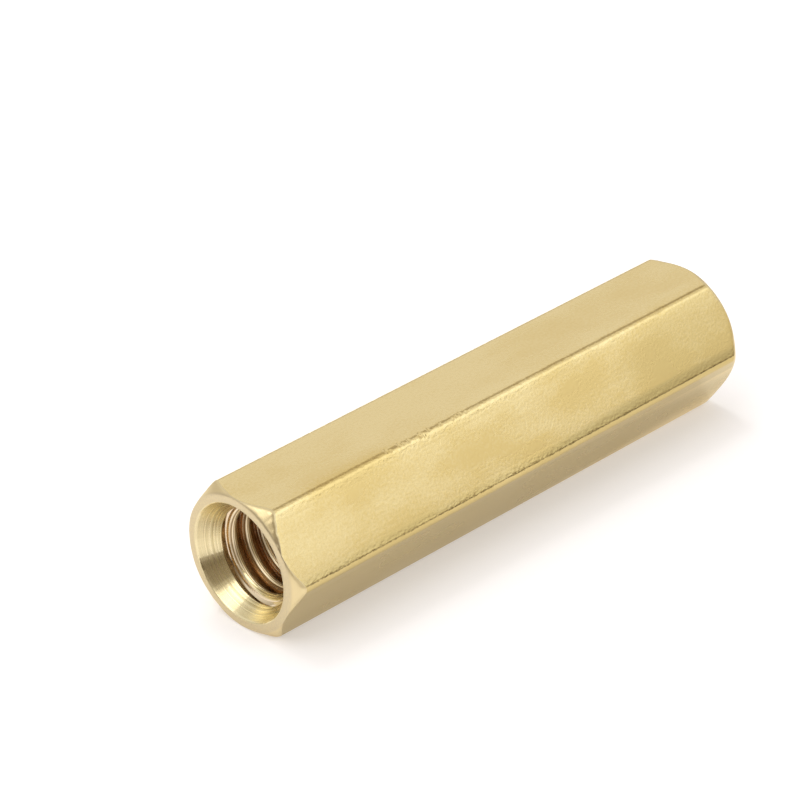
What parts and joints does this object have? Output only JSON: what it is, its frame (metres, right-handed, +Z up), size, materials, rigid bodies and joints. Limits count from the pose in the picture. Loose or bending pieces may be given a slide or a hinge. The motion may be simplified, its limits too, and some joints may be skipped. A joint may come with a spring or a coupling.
{
  "type": "hex standoff",
  "caption": "Brass hexagon standoff: a plain hexagon bar with chamfered ends, countersunk and tapped right through, that holds two parts a set distance apart.",
  "frame": {"origin": "on the resting surface, under the middle of the bar", "axes": "+X along the bar and its tapped hole, +Z up from the flat that it lies on"},
  "size_m": [0.035, 0.009, 0.008],
  "materials": {
    "brass": "bright drawn flats with turned ends"
  },
  "bodies": {
    "root": {"hex_standoff": "brass"}
  },
  "joints": []
}
